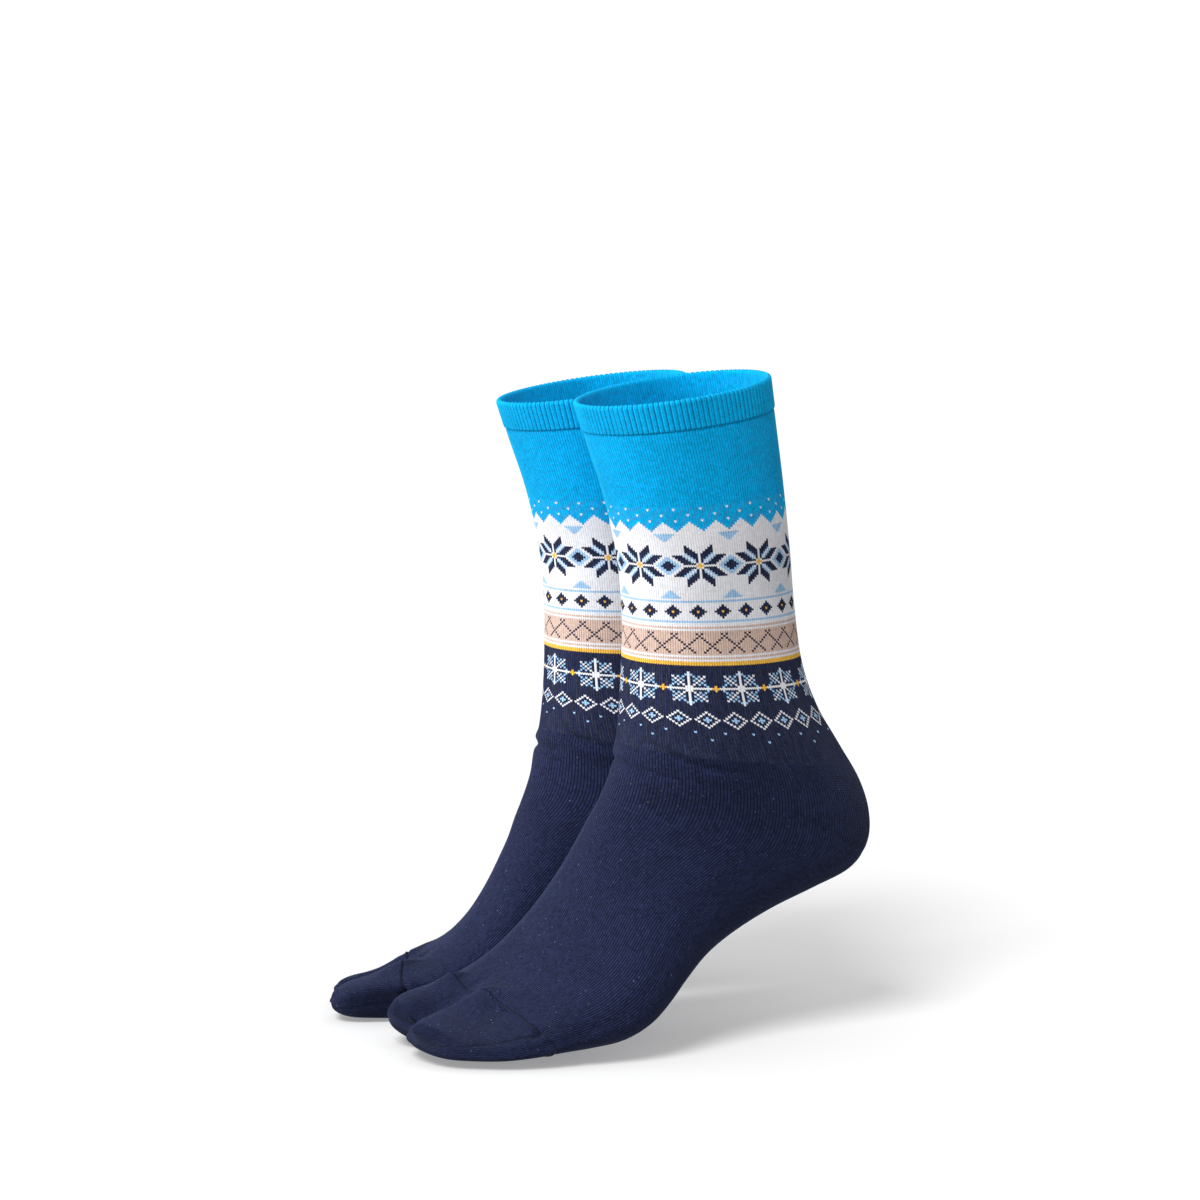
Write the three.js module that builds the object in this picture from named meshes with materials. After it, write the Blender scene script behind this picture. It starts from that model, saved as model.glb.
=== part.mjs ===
// A pair of crew socks in the shape they take on two feet that stand on tiptoe, toes towards -Y.
// Each sock is a hollow knitted tube: a ribbed cuff, the leg, the turned heel with the instep over it, the
// foot, and the closed toe. Millimetres, +Z up, +X to the wearer's left. The origin is midway between the
// two cuff openings, where the wearer's legs hold the pair.
import * as THREE from 'three';

// Sizes of the cloth
const WALL = 1.8;
const SEAM_GAP = 0.42;
const TIGHTEST = 0.4;
const CUFF_WALL = 2.2;
const RIBS = 96;
const RIB_HEIGHT = 0.7;
const WELT_ROUNDING = 0.6;

// The floor under the toes is this far below the origin, which lies behind the toes by the second value
const FLOOR_TO_ORIGIN = 274;
const ORIGIN_BEHIND = -20.1;

// The sole lies flat on the floor, and this far from it bends up softly
const SOLE_SOFTNESS = 1.5;

// How far round and along each piece is divided
const ROUND = 40;
const LEG_ROWS = 8;
const HEEL_ROWS = 9;
const FOOT_ROWS = 10;
const TOE_STEPS = [0, 0.22, 0.42, 0.6, 0.76, 0.88, 0.96, 1];
const TOE_LINING_STEPS = [0, 0.22, 0.42, 0.6, 0.74, 0.84];

// Stations from the cuff to the toe tip, in the middle plane of one foot. forward is ahead of the ankle
// joint, up is above the floor. Each section runs from a point on the back or sole to one on the front or
// instep. halfWidth is across it, shift moves it to the outside, belly is where it is widest (0 back,
// 1 front), frontPower and backPower are the superellipse powers of its two halves, skew carries the
// outer toes back, roll thins the outer side, and lean carries the instep ridge to the inside.
const STATION_COLUMNS = [
  'backForward', 'backUp', 'frontForward', 'frontUp', 'halfWidth', 'shift', 'belly',
  'frontPower', 'backPower', 'skew', 'roll', 'lean',
];
const STATION_TABLE = {
  cuffTop: [-24, 284, 59.5, 272.5, 38, 0, 0.5, 2, 2, 0, 0, 0],
  upperLeg: [-26.5, 266, 54.5, 257, 37, 0, 0.5, 2, 2, 0, 0, 0],
  midLeg: [-30.5, 238, 46.5, 233, 34.5, 0, 0.5, 2, 2, 0, 0, 0],
  lowerLeg: [-34, 210, 41, 208, 31.5, 0, 0.5, 2, 2, 0, 0, 0],
  narrowLeg: [-37, 184, 38.5, 184, 29.5, 0, 0.5, 2.1, 1.9, 0, 0, 0],
  aboveAnkle: [-41, 160, 38.5, 162, 30.5, 0, 0.52, 2.1, 1.8, 0, 0, 0],
  ankle: [-48, 141, 39, 146, 33, 0, 0.55, 2.1, 1.8, 0, 0, 0],
  ankleFold: [-58, 124, 40, 134, 34.5, 0, 0.57, 2.1, 1.9, 0, 0, 0],
  heelTop: [-67.5, 108, 41.5, 124.5, 34.5, 0, 0.57, 2.1, 2, 0, 0, 0],
  heelBack: [-72, 93.5, 43.5, 116.5, 34, 0, 0.55, 2.1, 2.1, 0, 0, 0],
  heelLow: [-71, 80.5, 45.4, 108.8, 33.5, 0, 0.52, 2.1, 2.2, 0, 0, 3],
  heelTurn: [-62.5, 70, 47.8, 102.2, 33.5, 0, 0.5, 2.1, 2.3, 0, 0, 5],
  heelSole: [-45, 63, 50.6, 95.8, 33.5, 0, 0.48, 2.1, 2.4, 0, 0, 7],
  backArch: [-25, 56, 53.7, 88.8, 33.5, 0.5, 0.46, 2.1, 2.5, 0, 0, 9],
  midArch: [-7, 47.5, 57.1, 81, 34.5, 1, 0.44, 2, 2.5, 0.02, 0, 12],
  frontArch: [8, 38.5, 61.2, 72.5, 36.5, 1.5, 0.43, 2, 2.6, 0.05, 0, 14],
  instep: [20.5, 28, 66.3, 63, 39.5, 2, 0.42, 2, 2.7, 0.1, 0.02, 16],
  ballBack: [31.5, 17.5, 72.6, 53.2, 42.5, 2, 0.42, 2, 2.8, 0.16, 0.05, 17],
  ballRise: [43, 8, 79.4, 44, 44, 1.5, 0.42, 2.2, 3, 0.22, 0.06, 18],
  ballRest: [56.5, 1.8, 86.9, 36, 44, 0.5, 0.42, 2.4, 3.2, 0.26, 0.1, 18],
  ballFront: [70.5, 0, 94.6, 30.2, 43, -0.5, 0.42, 2.6, 3.2, 0.26, 0.16, 17],
  toeRoot: [84.5, 0, 101.6, 26.4, 42, -1, 0.42, 2.7, 3.2, 0.24, 0.22, 14],
  toeMid: [97.5, 0, 108.4, 23.4, 40.5, -1.5, 0.43, 2.8, 3.2, 0.2, 0.26, 12],
  toeFront: [110, 0.2, 116.8, 20.2, 38.5, -3, 0.44, 2.9, 3.2, 0.17, 0.3, 9],
  toeRound: [121, 0.8, 125.4, 18.4, 35, -5, 0.45, 2.8, 3.1, 0.13, 0.24, 6],
  toeEdge: [129, 2, 131.2, 16.2, 31, -6.5, 0.46, 2.7, 2.9, 0.08, 0.18, 3],
  toeEnd: [134, 4.2, 134.9, 13.6, 26, -8, 0.48, 2.5, 2.6, 0.05, 0.16, 1],
  toeTip: [136.4, 6.8, 136.5, 10.6, 19, -9, 0.5, 2.3, 2.3, 0, 0.14, 0],
};
const ROLL_WIDTH = 40;

// Where the pieces meet, as fractional station numbers: under the cuff's ribs, where the patterned leg
// ends, where the heel's gores have run out, and over the toes
const CUFF_SEAM = 0.78;
const LEG_END = 7.5;
const HEEL_END = 14;
const TOE_SEAM = 21.3;
const LAST_STATION = Object.keys(STATION_TABLE).length - 1;

// The valley between the big toe and the others, in the toe cap and just behind it. depth is its share of
// the section's height.
const VALLEY = {
  across: -14, halfWidth: 6, depth: 0.24, notch: 5, start: 94, end: 126, notchStart: 116, notchEnd: 134,
};

// The two peaks of slack cloth just ahead of the toe seam, and how high they stand
const PEAK_COLUMNS = ['peakForward', 'peakOutward', 'halfWidth', 'height'];
const PEAKS = [
  [106, 0, 7, 3.2],
  [109.5, -30, 7, 3.2],
].map((row) => Object.fromEntries(PEAK_COLUMNS.map((column, k) => [column, row[k]])));

// Where each sock's own toe shape comes in: outward bounds and forward bounds of the big toe and the outer
// toes, and the line that the toe ends are slanted about
const BIG_TOE = { inner: -26, outer: -10, start: 110, end: 134 };
const OUTER_TOES = { inner: -20, outer: 15, start: 85, end: 125 };
const TOE_LINE = { pivot: -30, start: 90, end: 130 };

// The two socks. forward places the ankle joint along the standing line, and drop is how much lower
// the heel and leg of that foot are, taken up between the two heights above the floor. reach lengthens the
// toes, slant carries the outer ones back, thinning lowers them, and toeLift raises the big toe.
const HALF_STANCE = 46;
const DROP_FROM = 4;
const DROP_FULL = 50;
const SOCKS = [
  {
    name: 'left', side: 1, toeOut: 4, forward: -0.8, drop: 0, reach: -2, slant: 0, thinning: 0, toeLift: 2,
  },
  {
    name: 'right', side: -1, toeOut: 5, forward: 5.6, drop: 8, reach: 3.4, slant: 0.24, thinning: 0.25, toeLift: -1.5,
  },
];

const COLOURS = { cuff: 0x0f9cd6, leg: 0x8fc4dc, heel: 0x23283f, foot: 0x262b43, toe: 0x2a2f49 };
const KNIT_ROUGHNESS = 0.85;

const stations = Object.values(STATION_TABLE);

// Smooth step from 0 at low to 1 at high
function ease(value, low, high) {
  return THREE.MathUtils.smoothstep(value, low, high);
}

// The section at a fractional station, each column run through its four neighbours as a Catmull-Rom curve
function sectionAt(station) {
  const first = Math.min(Math.floor(station), LAST_STATION - 1);
  const u = station - first;
  const row = (index) => stations[THREE.MathUtils.clamp(index, 0, LAST_STATION)];
  const section = {};
  STATION_COLUMNS.forEach((column, k) => {
    const p1 = row(first)[k];
    const p2 = row(first + 1)[k];
    const p0 = first === 0 ? 2 * p1 - p2 : row(first - 1)[k];
    const p3 = first + 2 > LAST_STATION ? 2 * p2 - p1 : row(first + 2)[k];
    const linear = p2 - p0;
    const square = 2 * p0 - 5 * p1 + 4 * p2 - p3;
    const cube = 3 * p1 - p0 - 3 * p2 + p3;
    section[column] = 0.5 * (2 * p1 + linear * u + square * u * u + cube * u * u * u);
  });
  return section;
}

function signedPower(value, power) {
  return Math.sign(value) * Math.abs(value) ** power;
}

// A point of the sock's outer face. angle is 0 at the front or instep and a quarter turn at the outside.
function facePoint(station, angle, sock) {
  const s = sectionAt(station);
  const c = Math.cos(angle);
  const rise = new THREE.Vector2(s.frontForward - s.backForward, s.frontUp - s.backUp);
  const height = rise.length();
  rise.normalize();
  const power = c >= 0 ? s.frontPower : s.backPower;
  const reach = c >= 0 ? 1 - s.belly : s.belly;
  const along = height * (s.belly + reach * signedPower(c, 2 / power));
  const across = s.halfWidth * signedPower(Math.sin(angle), 2 / power);
  const outward = across + s.shift - s.lean * ease(c, -0.3, 1);
  let forward = s.backForward + along * rise.x - s.skew * across * rise.y;
  let up = s.backUp + along * rise.y + s.skew * across * rise.x;
  up *= 1 - (s.roll * across) / ROLL_WIDTH;

  const between = Math.exp(-(((outward - VALLEY.across) / VALLEY.halfWidth) ** 2));
  const valley = between * ease(forward, VALLEY.start, VALLEY.end);
  up -= VALLEY.depth * height * valley * ease(c, -0.2, 0.6);
  forward -= VALLEY.notch * valley * ease(forward, VALLEY.notchStart, VALLEY.notchEnd);
  for (const peak of PEAKS) {
    const away = (forward - peak.peakForward) ** 2 + (outward - peak.peakOutward) ** 2;
    up += peak.height * Math.exp(-away / peak.halfWidth ** 2) * ease(c, 0, 0.6);
  }
  const outer = ease(outward, OUTER_TOES.inner, OUTER_TOES.outer) * ease(forward, OUTER_TOES.start, OUTER_TOES.end);
  const big = (1 - ease(outward, BIG_TOE.inner, BIG_TOE.outer)) * ease(forward, BIG_TOE.start, BIG_TOE.end);
  up = up * (1 - sock.thinning * outer) + sock.toeLift * big;
  const toes = ease(forward, TOE_LINE.start, TOE_LINE.end);
  forward += (sock.reach - sock.slant * (outward - TOE_LINE.pivot)) * toes;
  up -= sock.drop * ease(up, DROP_FROM, DROP_FULL);
  up = (up + Math.hypot(up, SOLE_SOFTNESS)) / 2;

  const turn = THREE.MathUtils.degToRad(sock.toeOut);
  const ahead = forward * Math.cos(turn) - outward * Math.sin(turn) + sock.forward;
  const aside = HALF_STANCE + forward * Math.sin(turn) + outward * Math.cos(turn);
  return new THREE.Vector3(sock.side * aside, -ahead - ORIGIN_BEHIND, up - FLOOR_TO_ORIGIN);
}

// The same point moved out of the face by lift, or into the wall where lift is negative
function skinPoint(station, angle, sock, lift) {
  const step = 0.02;
  const before = Math.max(station - step, 0);
  const after = Math.min(station + step, LAST_STATION);
  const down = facePoint(after, angle, sock).sub(facePoint(before, angle, sock));
  const around = facePoint(station, angle + step, sock).sub(facePoint(station, angle - step, sock));
  const normal = down.cross(around).normalize().multiplyScalar(sock.side);
  return facePoint(station, angle, sock).addScaledVector(normal, lift);
}

// How far inside the face the lining lies: one wall, or less where the sock turns more tightly than that
function liningDepth(station, angle, sock) {
  const reach = (2 * Math.PI) / ROUND;
  const corners = [-reach, 0, reach].map((offset) => facePoint(station, angle + offset, sock));
  const sides = corners.map((corner, k) => corner.distanceTo(corners[(k + 1) % corners.length]));
  const area = new THREE.Triangle(...corners).getArea();
  const radius = (sides[0] * sides[1] * sides[2]) / (4 * Math.max(area, 1e-6));
  return Math.min(WALL, TIGHTEST * radius);
}

function ring(station, sock, count, liftAt) {
  const points = [];
  for (let k = 0; k < count; k += 1) {
    const angle = (2 * Math.PI * k) / count;
    points.push(skinPoint(station, angle, sock, liftAt(k, angle)));
  }
  return points;
}

function liningRing(station, sock) {
  return ring(station, sock, ROUND, (k, angle) => -liningDepth(station, angle, sock));
}

// Evenly spaced fractional stations between two seams
function spread(start, end, rows) {
  return Array.from({ length: rows }, (_, k) => start + ((end - start) * k) / (rows - 1));
}

// How many stations long the seam gap is: wide enough where the insides' rings lie closest together
function gapAt(station) {
  const probe = 0.1;
  const spans = SOCKS.flatMap((sock) => {
    const below = liningRing(station + probe, sock);
    return liningRing(station - probe, sock).map((point, k) => point.distanceTo(below[k]));
  });
  return (SEAM_GAP * 2 * probe) / Math.min(...spans);
}

// A closed wall from rings that run down the outside and back up the inside. Where an end is closed, as
// at the toe, its last outer and inner rings are capped; otherwise they are joined by a rim.
function wallGeometry(outer, inner, closedEnd) {
  const count = outer[0].length;
  const rings = [...inner.slice().reverse(), ...outer];
  const points = rings.flat();
  const faces = [];
  const quad = (a, b, c, d) => faces.push(a, b, c, a, c, d);
  const bands = closedEnd ? rings.length - 1 : rings.length;
  for (let r = 0; r < bands; r += 1) {
    const next = (r + 1) % rings.length;
    for (let k = 0; k < count; k += 1) {
      const k2 = (k + 1) % count;
      quad(r * count + k, next * count + k, next * count + k2, r * count + k2);
    }
  }
  if (closedEnd) {
    const cap = (start, flip) => {
      const middle = new THREE.Vector3();
      for (let k = 0; k < count; k += 1) {
        middle.addScaledVector(points[start + k], 1 / count);
        const pair = [start + k, start + ((k + 1) % count)];
        faces.push(points.length, ...(flip ? pair.reverse() : pair));
      }
      return middle;
    };
    points.push(cap(0, false));
    points.push(cap((rings.length - 1) * count, true));
  }
  const geometry = new THREE.BufferGeometry();
  geometry.setAttribute('position', new THREE.Float32BufferAttribute(points.flatMap((p) => p.toArray()), 3));
  geometry.setIndex(faces);
  return facingOut(geometry);
}

// Turns every face round if the closed surface encloses a negative volume
function facingOut(geometry) {
  const index = geometry.getIndex();
  const position = geometry.getAttribute('position');
  const [a, b, c] = [new THREE.Vector3(), new THREE.Vector3(), new THREE.Vector3()];
  let volume = 0;
  for (let i = 0; i < index.count; i += 3) {
    a.fromBufferAttribute(position, index.getX(i));
    b.fromBufferAttribute(position, index.getX(i + 1));
    c.fromBufferAttribute(position, index.getX(i + 2));
    volume += a.dot(b.cross(c)) / 6;
  }
  if (volume < 0) {
    for (let i = 0; i < index.count; i += 3) {
      const second = index.getX(i + 1);
      index.setX(i + 1, index.getX(i + 2));
      index.setX(i + 2, second);
    }
  }
  geometry.computeVertexNormals();
  return geometry;
}

function pieceMesh(sock, piece, geometry) {
  const material = new THREE.MeshStandardMaterial({
    color: COLOURS[piece], roughness: KNIT_ROUGHNESS, metalness: 0, flatShading: true,
  });
  const mesh = new THREE.Mesh(geometry, material);
  mesh.name = `${sock.name}_${piece}`;
  return mesh;
}

// The turned welt: vertical ribs raised on its outer face, its top and bottom edges rounded in, plain inside
function cuffMesh(sock) {
  const count = 2 * RIBS;
  const end = CUFF_SEAM - gapAt(CUFF_SEAM) / 2;
  const ribbed = (k) => (k % 2 === 0 ? RIB_HEIGHT : 0);
  const rounded = () => -WELT_ROUNDING;
  const plain = () => -CUFF_WALL;
  const shoulder = 0.06;
  const outer = [
    ring(0, sock, count, rounded),
    ring(shoulder, sock, count, ribbed),
    ring(end - shoulder, sock, count, ribbed),
    ring(end, sock, count, rounded),
  ];
  const inner = [ring(0, sock, count, plain), ring(end, sock, count, plain)];
  return pieceMesh(sock, 'cuff', wallGeometry(outer, inner, false));
}

// A plain stretch of knitted tube between two seams
function tubeMesh(sock, piece, start, end, rows) {
  const stops = spread(start + gapAt(start) / 2, end - gapAt(end) / 2, rows);
  const outer = stops.map((station) => ring(station, sock, ROUND, () => 0));
  const inner = stops.map((station) => liningRing(station, sock));
  return pieceMesh(sock, piece, wallGeometry(outer, inner, false));
}

// The toe cap, closed at the tip, with its inside ending one wall short of it
function toeMesh(sock) {
  const start = TOE_SEAM + gapAt(TOE_SEAM) / 2;
  const stop = (step) => start + (LAST_STATION - start) * step;
  const outer = TOE_STEPS.map((step) => ring(stop(step), sock, ROUND, () => 0));
  const inner = TOE_LINING_STEPS.map((step) => liningRing(stop(step), sock));
  return pieceMesh(sock, 'toe', wallGeometry(outer, inner, true));
}

const pair = new THREE.Group();
for (const sock of SOCKS) {
  pair.add(
    cuffMesh(sock),
    tubeMesh(sock, 'leg', CUFF_SEAM, LEG_END, LEG_ROWS),
    tubeMesh(sock, 'heel', LEG_END, HEEL_END, HEEL_ROWS),
    tubeMesh(sock, 'foot', HEEL_END, TOE_SEAM, FOOT_ROWS),
    toeMesh(sock),
  );
}

export default pair;
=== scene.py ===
# %% [markdown]
# # A pair of crew socks, knitted stitch by stitch
# Two crew socks stand in the hollow shape that they take on tiptoe. Each is one knitted tube: a ribbed
# welt at the top, a patterned leg, a plain navy foot with a turned heel, and a closed toe. The packed
# model is loaded first, as a fixed frame. Every piece below is a thin knitted shell on its face.

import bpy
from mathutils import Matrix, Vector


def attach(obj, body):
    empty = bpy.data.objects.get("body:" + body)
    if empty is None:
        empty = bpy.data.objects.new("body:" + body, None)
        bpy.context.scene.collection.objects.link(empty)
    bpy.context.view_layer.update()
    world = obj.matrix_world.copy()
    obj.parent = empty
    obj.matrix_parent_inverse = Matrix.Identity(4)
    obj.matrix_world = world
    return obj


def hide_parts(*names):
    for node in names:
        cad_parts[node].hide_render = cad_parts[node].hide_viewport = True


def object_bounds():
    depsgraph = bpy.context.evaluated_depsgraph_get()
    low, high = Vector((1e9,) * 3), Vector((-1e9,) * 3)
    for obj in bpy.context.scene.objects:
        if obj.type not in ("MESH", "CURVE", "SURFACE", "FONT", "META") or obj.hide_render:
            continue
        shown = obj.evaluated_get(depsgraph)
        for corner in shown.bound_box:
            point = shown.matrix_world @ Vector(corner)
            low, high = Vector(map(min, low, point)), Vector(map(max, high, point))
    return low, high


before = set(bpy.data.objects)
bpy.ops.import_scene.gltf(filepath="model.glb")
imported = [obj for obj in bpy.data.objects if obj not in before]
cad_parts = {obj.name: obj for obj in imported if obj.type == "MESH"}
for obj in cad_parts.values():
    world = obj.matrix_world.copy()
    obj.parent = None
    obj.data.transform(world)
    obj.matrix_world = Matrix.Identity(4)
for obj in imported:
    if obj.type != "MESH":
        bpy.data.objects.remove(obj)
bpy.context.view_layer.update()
print("frame nodes:", sorted(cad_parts))

# %% [markdown]
# ## The shape of a worn sock
# A knitted tube has no shape of its own: it takes the shape of what fills it. It could be sculpted or
# inflated by a cloth simulation, but a table of sections along the foot is exact and repeats the same
# values as the solids, so the shells fit them with nothing to adjust. A section runs from a point on
# the back or sole to one on the front or instep, in millimetres. Forward is ahead of the ankle, outward
# is away from the other sock, and up is above the floor.

# %% Table of sections
import math

import bpy
import numpy as np
from mathutils import Vector

MM = 0.001

# The origin, midway between the cuff openings, is this high above the floor and this far ahead of the ankles
FLOOR_TO_ORIGIN = 274
ORIGIN_AHEAD = 20.1

# Belly is where a section is widest, from 0 at the back to 1 at the front, and the powers square its two
# halves. Shift moves it outward, skew carries its outer side back, roll thins that side, and lean moves
# the ridge of the instep inward.
STATION_COLUMNS = (
    "back_forward", "back_up", "front_forward", "front_up", "half_width", "shift", "belly",
    "front_power", "back_power", "skew", "roll", "lean",
)
STATIONS = {
    "cuff top": (-24, 284, 59.5, 272.5, 38, 0, 0.5, 2, 2, 0, 0, 0),
    "upper leg": (-26.5, 266, 54.5, 257, 37, 0, 0.5, 2, 2, 0, 0, 0),
    "mid leg": (-30.5, 238, 46.5, 233, 34.5, 0, 0.5, 2, 2, 0, 0, 0),
    "lower leg": (-34, 210, 41, 208, 31.5, 0, 0.5, 2, 2, 0, 0, 0),
    "narrow leg": (-37, 184, 38.5, 184, 29.5, 0, 0.5, 2.1, 1.9, 0, 0, 0),
    "above ankle": (-41, 160, 38.5, 162, 30.5, 0, 0.52, 2.1, 1.8, 0, 0, 0),
    "ankle": (-48, 141, 39, 146, 33, 0, 0.55, 2.1, 1.8, 0, 0, 0),
    "ankle fold": (-58, 124, 40, 134, 34.5, 0, 0.57, 2.1, 1.9, 0, 0, 0),
    "heel top": (-67.5, 108, 41.5, 124.5, 34.5, 0, 0.57, 2.1, 2, 0, 0, 0),
    "heel back": (-72, 93.5, 43.5, 116.5, 34, 0, 0.55, 2.1, 2.1, 0, 0, 0),
    "heel low": (-71, 80.5, 45.4, 108.8, 33.5, 0, 0.52, 2.1, 2.2, 0, 0, 3),
    "heel turn": (-62.5, 70, 47.8, 102.2, 33.5, 0, 0.5, 2.1, 2.3, 0, 0, 5),
    "heel sole": (-45, 63, 50.6, 95.8, 33.5, 0, 0.48, 2.1, 2.4, 0, 0, 7),
    "back arch": (-25, 56, 53.7, 88.8, 33.5, 0.5, 0.46, 2.1, 2.5, 0, 0, 9),
    "mid arch": (-7, 47.5, 57.1, 81, 34.5, 1, 0.44, 2, 2.5, 0.02, 0, 12),
    "front arch": (8, 38.5, 61.2, 72.5, 36.5, 1.5, 0.43, 2, 2.6, 0.05, 0, 14),
    "instep": (20.5, 28, 66.3, 63, 39.5, 2, 0.42, 2, 2.7, 0.1, 0.02, 16),
    "ball back": (31.5, 17.5, 72.6, 53.2, 42.5, 2, 0.42, 2, 2.8, 0.16, 0.05, 17),
    "ball rise": (43, 8, 79.4, 44, 44, 1.5, 0.42, 2.2, 3, 0.22, 0.06, 18),
    "ball rest": (56.5, 1.8, 86.9, 36, 44, 0.5, 0.42, 2.4, 3.2, 0.26, 0.1, 18),
    "ball front": (70.5, 0, 94.6, 30.2, 43, -0.5, 0.42, 2.6, 3.2, 0.26, 0.16, 17),
    "toe root": (84.5, 0, 101.6, 26.4, 42, -1, 0.42, 2.7, 3.2, 0.24, 0.22, 14),
    "toe mid": (97.5, 0, 108.4, 23.4, 40.5, -1.5, 0.43, 2.8, 3.2, 0.2, 0.26, 12),
    "toe front": (110, 0.2, 116.8, 20.2, 38.5, -3, 0.44, 2.9, 3.2, 0.17, 0.3, 9),
    "toe round": (121, 0.8, 125.4, 18.4, 35, -5, 0.45, 2.8, 3.1, 0.13, 0.24, 6),
    "toe edge": (129, 2, 131.2, 16.2, 31, -6.5, 0.46, 2.7, 2.9, 0.08, 0.18, 3),
    "toe end": (134, 4.2, 134.9, 13.6, 26, -8, 0.48, 2.5, 2.6, 0.05, 0.16, 1),
    "toe tip": (136.4, 6.8, 136.5, 10.6, 19, -9, 0.5, 2.3, 2.3, 0, 0.14, 0),
}
# Roll is full this far out, and the sole leaves the floor in a soft bend about this high
ROLL_WIDTH = 40
SOLE_SOFTNESS = 1.5
LAST_STATION = len(STATIONS) - 1

# Seams between the pieces, as fractional station numbers
CUFF_SEAM = 0.78
LEG_END = 7.5
TOE_SEAM = 21.3
print(len(STATIONS), "sections from the cuff to the toe tip")

# %% [markdown]
# ## Toes and stance
# A toe cap is slack, so it shows a valley beside the big toe and two small peaks of cloth by its seam.
# The two socks also differ a little: one has its heel lower, and its toes lie flatter. This could be
# sculpted on each sock by hand. Bells and soft steps, added to the sections, keep one short table for both.

# %% Toe forms and the two socks
VALLEY = {
    "outward": -14, "half_width": 6, "depth": 0.24, "notch": 5,
    "start": 94, "end": 126, "notch_start": 116, "notch_end": 134,
}
PEAK_COLUMNS = ("forward", "outward", "half_width", "height")
PEAKS = {"middle toes": (106, 0, 7, 3.2), "big toe": (109.5, -30, 7, 3.2)}
BIG_TOE = {"inner": -26, "outer": -10, "start": 110, "end": 134}
OUTER_TOES = {"inner": -20, "outer": 15, "start": 85, "end": 125}
TOE_LINE = {"pivot": -30, "start": 90, "end": 130}

# Where these forms and the lean fade in over the top: 1 is the instep, 0 the sides and -1 the sole
VALLEY_TOP = (-0.2, 0.6)
PEAK_TOP = (0, 0.6)
LEAN_TOP = (-0.3, 1)

# Drop is how much lower a heel and leg are, taken up between two heights above the floor. Reach lengthens
# the toes, slant carries the outer ones back, thinning lowers them, and toe_lift raises the big toe.
HALF_STANCE = 46
DROP_HEIGHTS = (4, 50)
SOCKS = {
    "left": {
        "side": 1, "toe_out": 4, "forward": -0.8, "drop": 0,
        "reach": -2, "slant": 0, "thinning": 0, "toe_lift": 2,
    },
    "right": {
        "side": -1, "toe_out": 5, "forward": 5.6, "drop": 8,
        "reach": 3.4, "slant": 0.24, "thinning": 0.25, "toe_lift": -1.5,
    },
}
print("socks:", ", ".join(SOCKS))

# %% [markdown]
# ## From table to face
# Between two rows, each column follows a Catmull-Rom curve through its neighbours, so the leg flows
# into the foot with no kink. Each section is a superellipse, rounder or squarer in each half, leaned
# and rolled as a worn sock is. A subdivided cage would be quicker to draw, but its surface can't be asked
# for the point at a given place, which every stitch needs. NumPy works out whole grids of points at once.

# %% Sections at any station
table = np.array(list(STATIONS.values()), float)
padded_table = np.vstack([2 * table[0] - table[1], table, 2 * table[-1] - table[-2]])


def ease(value, low, high):
    """Smooth step from 0 at low to 1 at high."""
    t = np.clip((value - low) / (high - low), 0, 1)
    return t * t * (3 - 2 * t)


def bell(distance, half_width):
    """1 at no distance, fading to nothing over about two half widths."""
    return np.exp(-((distance / half_width) ** 2))


def signed_power(value, power):
    return np.sign(value) * np.abs(value) ** power


def section_at(station):
    """The table's columns at fractional stations, as a dict of arrays."""
    first = np.minimum(np.floor(station).astype(int), LAST_STATION - 1)
    u = (station - first)[..., None]
    p0, p1, p2, p3 = (padded_table[first + k] for k in range(4))
    square = 2 * p0 - 5 * p1 + 4 * p2 - p3
    cube = 3 * p1 - p0 - 3 * p2 + p3
    values = 0.5 * (2 * p1 + (p2 - p0) * u + square * u**2 + cube * u**3)
    return dict(zip(STATION_COLUMNS, np.moveaxis(values, -1, 0)))


above_ankle = list(STATIONS).index("above ankle")
print("just above the ankle a sock is", 2 * section_at(np.array([above_ankle]))["half_width"][0], "mm across")


# %% Points of the face
def shape_toes(forward, outward, up, height, front, sock):
    """Adds the valley, the peaks and the sock's own toe line to points of a foot."""
    between = bell(outward - VALLEY["outward"], VALLEY["half_width"])
    valley = between * ease(forward, VALLEY["start"], VALLEY["end"])
    up = up - VALLEY["depth"] * height * valley * ease(front, *VALLEY_TOP)
    forward = forward - VALLEY["notch"] * valley * ease(forward, VALLEY["notch_start"], VALLEY["notch_end"])
    for values in PEAKS.values():
        peak = dict(zip(PEAK_COLUMNS, values))
        away = np.hypot(forward - peak["forward"], outward - peak["outward"])
        up = up + peak["height"] * bell(away, peak["half_width"]) * ease(front, *PEAK_TOP)
    outer = ease(outward, OUTER_TOES["inner"], OUTER_TOES["outer"])
    outer = outer * ease(forward, OUTER_TOES["start"], OUTER_TOES["end"])
    big = 1 - ease(outward, BIG_TOE["inner"], BIG_TOE["outer"])
    big = big * ease(forward, BIG_TOE["start"], BIG_TOE["end"])
    up = up * (1 - sock["thinning"] * outer) + sock["toe_lift"] * big
    toes = ease(forward, TOE_LINE["start"], TOE_LINE["end"])
    return forward + (sock["reach"] - sock["slant"] * (outward - TOE_LINE["pivot"])) * toes, up


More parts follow.
